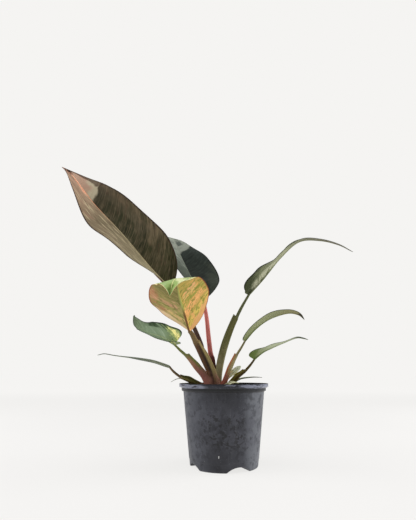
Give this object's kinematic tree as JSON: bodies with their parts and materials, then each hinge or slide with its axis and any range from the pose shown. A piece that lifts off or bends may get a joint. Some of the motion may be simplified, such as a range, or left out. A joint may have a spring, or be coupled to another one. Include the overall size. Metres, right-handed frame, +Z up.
{
  "type": "potted variegated philodendron",
  "caption": "Upright philodendron with folded, variegated leaves on sheathed stalks in a round nursery pot that stands by itself.",
  "frame": {"origin": "middle of the pot's foot, on the surface that the pot stands on", "axes": "+Z up along the pot's axis, -Y to the front, where the marbled leaf leans out, +X to the right"},
  "size_m": [0.4344, 0.2816, 0.4402],
  "materials": {
    "pot_plastic": "matte dark grey moulded plastic with dusty water stains",
    "potting_mix": "damp dark bark and peat crumb",
    "bronze_leaf": "glossy bronze leaf with a pale midrib",
    "dark_leaf": "glossy blue-black leaf",
    "marbled_leaf": "satin leaf marbled in olive, orange, pink and yellow",
    "splashed_leaf": "satin grey-green leaf splashed with cream at its base",
    "green_leaf": "satin grey-green leaf with dark edges",
    "brown_stalk": "satin dark brown stalk with an olive sheath",
    "pink_stalk": "satin pink-red stalk, maroon at its foot",
    "olive_stalk": "satin striped olive stalk",
    "crown": "matte pinkish brown stem",
    "scale_leaf": "dry pale green scale leaf"
  },
  "bodies": {
    "root": {"nursery_pot": "pot_plastic", "potting_mix": "potting_mix", "crown_stem": "crown", "bronze_leaf_stalk": "brown_stalk", "dark_leaf_stalk": "pink_stalk", "marbled_leaf_stalk": "brown_stalk", "splashed_leaf_stalk": "olive_stalk", "low_left_leaf_stalk": "olive_stalk", "tall_right_leaf_stalk": "olive_stalk", "mid_right_leaf_stalk": "olive_stalk", "low_right_leaf_stalk": "olive_stalk", "bronze_leaf_blade": "bronze_leaf", "dark_leaf_blade": "dark_leaf", "marbled_leaf_blade": "marbled_leaf", "splashed_leaf_blade": "splashed_leaf", "low_left_leaf_blade": "green_leaf", "tall_right_leaf_blade": "green_leaf", "mid_right_leaf_blade": "green_leaf", "low_right_leaf_blade": "green_leaf", "sprout_leaf": "scale_leaf", "scale_leaf_right": "scale_leaf", "scale_leaf_front": "scale_leaf", "scale_leaf_left": "scale_leaf"}
  },
  "joints": []
}
